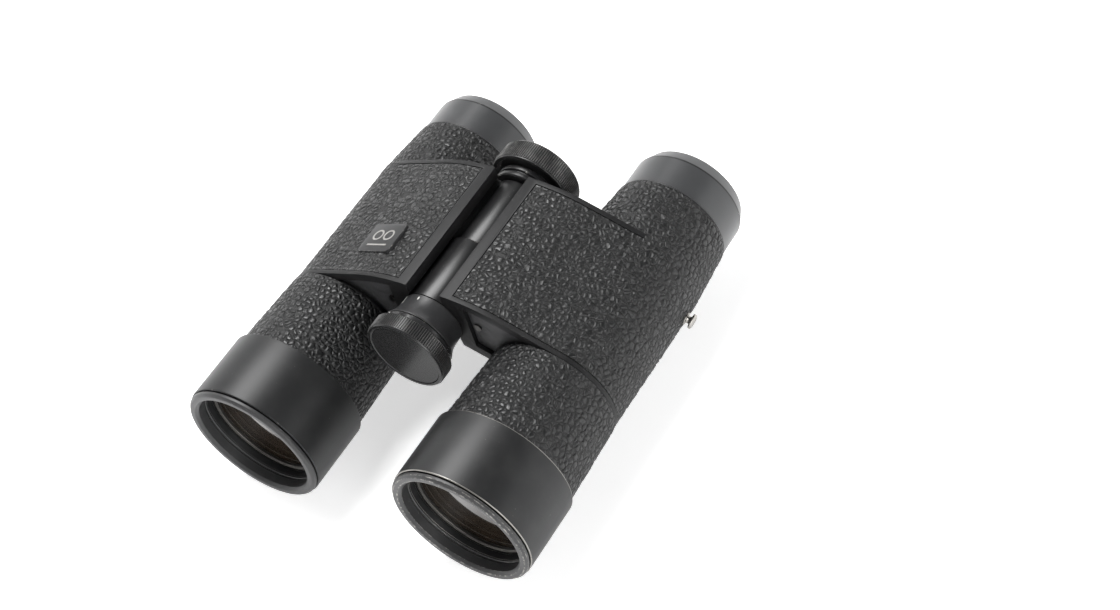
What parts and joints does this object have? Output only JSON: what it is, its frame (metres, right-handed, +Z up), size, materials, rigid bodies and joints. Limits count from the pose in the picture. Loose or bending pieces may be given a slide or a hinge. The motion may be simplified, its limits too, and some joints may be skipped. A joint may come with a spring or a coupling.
{
  "type": "roof prism binoculars",
  "caption": "Compact roof prism binoculars: two barrels on a central hinge, leather-covered, with a rear focus wheel, a front dioptre knob and strap studs.",
  "frame": {"origin": "middle of the instrument at the level of the lowest point of its hoods", "axes": "+Y from the objectives to the oculars along the barrels, +Z up towards the hinge side, X across the barrels; the user looks along -Y, so the right half is at -X"},
  "size_m": [0.1198, 0.1354, 0.0533],
  "materials": {
    "casting_black": "satin black enamel",
    "plate_grey": "matt dark grey",
    "screw_black": "blackened",
    "satin_black": "satin black enamel, worn at the edges",
    "inner_black": "matt black",
    "retainer_metal": "thin dark ring",
    "coated_glass": "amber anti-reflection coating",
    "clear_glass": "polished",
    "tube_aluminium": "turned",
    "cell_brass": "turned",
    "cell_aluminium": "black anodised",
    "cradle_casting": "cast",
    "ocular_black": "satin grey black",
    "leather_black": "pebbled",
    "nickel": "polished nickel",
    "axle_steel": "ground",
    "nickel_dark": "ground",
    "gloss_black": "gloss black, scratched",
    "knob_black": "semi-gloss black with a fine knurl",
    "wheel_grey": "black, worn to grey on the knurl",
    "badge_metal": "satin dark grey, plain"
  },
  "bodies": {
    "right_half": {"right_body_housing": "casting_black", "right_front_plate": "plate_grey", "right_plate_screw": "screw_black", "right_front_ring": "satin_black", "right_objective_hood": "satin_black", "right_objective_cell": "inner_black", "right_eye_retainer": "inner_black", "right_objective_retainer": "retainer_metal", "right_objective_crown": "coated_glass", "right_eye_lens": "coated_glass", "right_objective_flint": "clear_glass", "right_field_lens": "clear_glass", "right_prism_front": "clear_glass", "right_prism_roof": "clear_glass", "right_front_tube": "tube_aluminium", "right_ocular_tube": "tube_aluminium", "right_prism_cradle": "cradle_casting", "right_ocular_ring": "ocular_black", "right_leather_front": "leather_black", "right_leather_body": "leather_black", "right_strap_stud": "nickel", "hinge_axle": "axle_steel", "hinge_washer": "nickel_dark", "hinge_collar": "gloss_black", "index_neck": "gloss_black", "badge_plate": "badge_metal"},
    "left_half": {"left_body_housing": "casting_black", "left_front_plate": "plate_grey", "left_plate_screw": "screw_black", "left_front_ring": "satin_black", "left_objective_hood": "satin_black", "left_objective_cell": "inner_black", "left_eye_retainer": "inner_black", "left_objective_retainer": "retainer_metal", "left_objective_crown": "coated_glass", "left_eye_lens": "coated_glass", "left_objective_flint": "clear_glass", "left_field_lens": "clear_glass", "left_prism_front": "clear_glass", "left_prism_roof": "clear_glass", "left_front_tube": "tube_aluminium", "left_ocular_tube": "tube_aluminium", "left_prism_cradle": "cradle_casting", "left_ocular_ring": "ocular_black", "left_leather_front": "leather_black", "left_leather_body": "leather_black", "left_strap_stud": "nickel"},
    "right_focus": {"right_focus_carrier": "cell_aluminium"},
    "right_trim": {"right_focus_cell": "cell_aluminium", "right_focus_lens": "clear_glass"},
    "left_focus": {"left_focus_carrier": "cell_aluminium", "left_focus_cell": "cell_aluminium", "left_focus_lens": "clear_glass"},
    "focus_wheel": {"focus_wheel": "wheel_grey", "focus_wheel_cap": "wheel_grey"},
    "focus_slide": {"focus_spool": "cell_brass", "focus_spindle": "axle_steel"},
    "dioptre": {"dioptre_knob": "knob_black", "dioptre_screw": "axle_steel"}
  },
  "joints": [
    {"name": "fold", "type": "hinge", "parent": "right_half", "child": "left_half", "pos_m": [0, 0, 0.03968], "axis": [0, 1, 0], "range_deg": [-3, 44]},
    {"name": "focus_turn", "type": "hinge", "parent": "right_half", "child": "focus_wheel", "pos_m": [0, 0, 0.03968], "axis": [0, 1, 0], "range_deg": [-150, 150]},
    {"name": "focus_travel", "type": "slide", "parent": "right_half", "child": "focus_slide", "axis": [0, 1, 0], "range_m": [-0.0015, 0.0015]},
    {"name": "left_focus_travel", "type": "slide", "parent": "left_half", "child": "left_focus", "axis": [0, 1, 0], "range_m": [-0.0015, 0.0015]},
    {"name": "right_focus_travel", "type": "slide", "parent": "right_half", "child": "right_focus", "axis": [0, 1, 0], "range_m": [-0.0015, 0.0015]},
    {"name": "dioptre_turn", "type": "hinge", "parent": "right_half", "child": "dioptre", "pos_m": [0, 0, 0.03968], "axis": [0, 1, 0], "range_deg": [-60, 60]},
    {"name": "right_lens_trim", "type": "slide", "parent": "right_focus", "child": "right_trim", "axis": [0, 1, 0], "range_m": [-0.0005, 0.0005]}
  ],
  "couplings": [
    {"joint": "focus_travel", "follows": "focus_turn", "m_per_rad": 0.00057},
    {"joint": "left_focus_travel", "follows": "focus_turn", "m_per_rad": 0.00057},
    {"joint": "right_focus_travel", "follows": "focus_turn", "m_per_rad": 0.00057},
    {"joint": "right_lens_trim", "follows": "dioptre_turn", "m_per_rad": 0.00047}
  ]
}
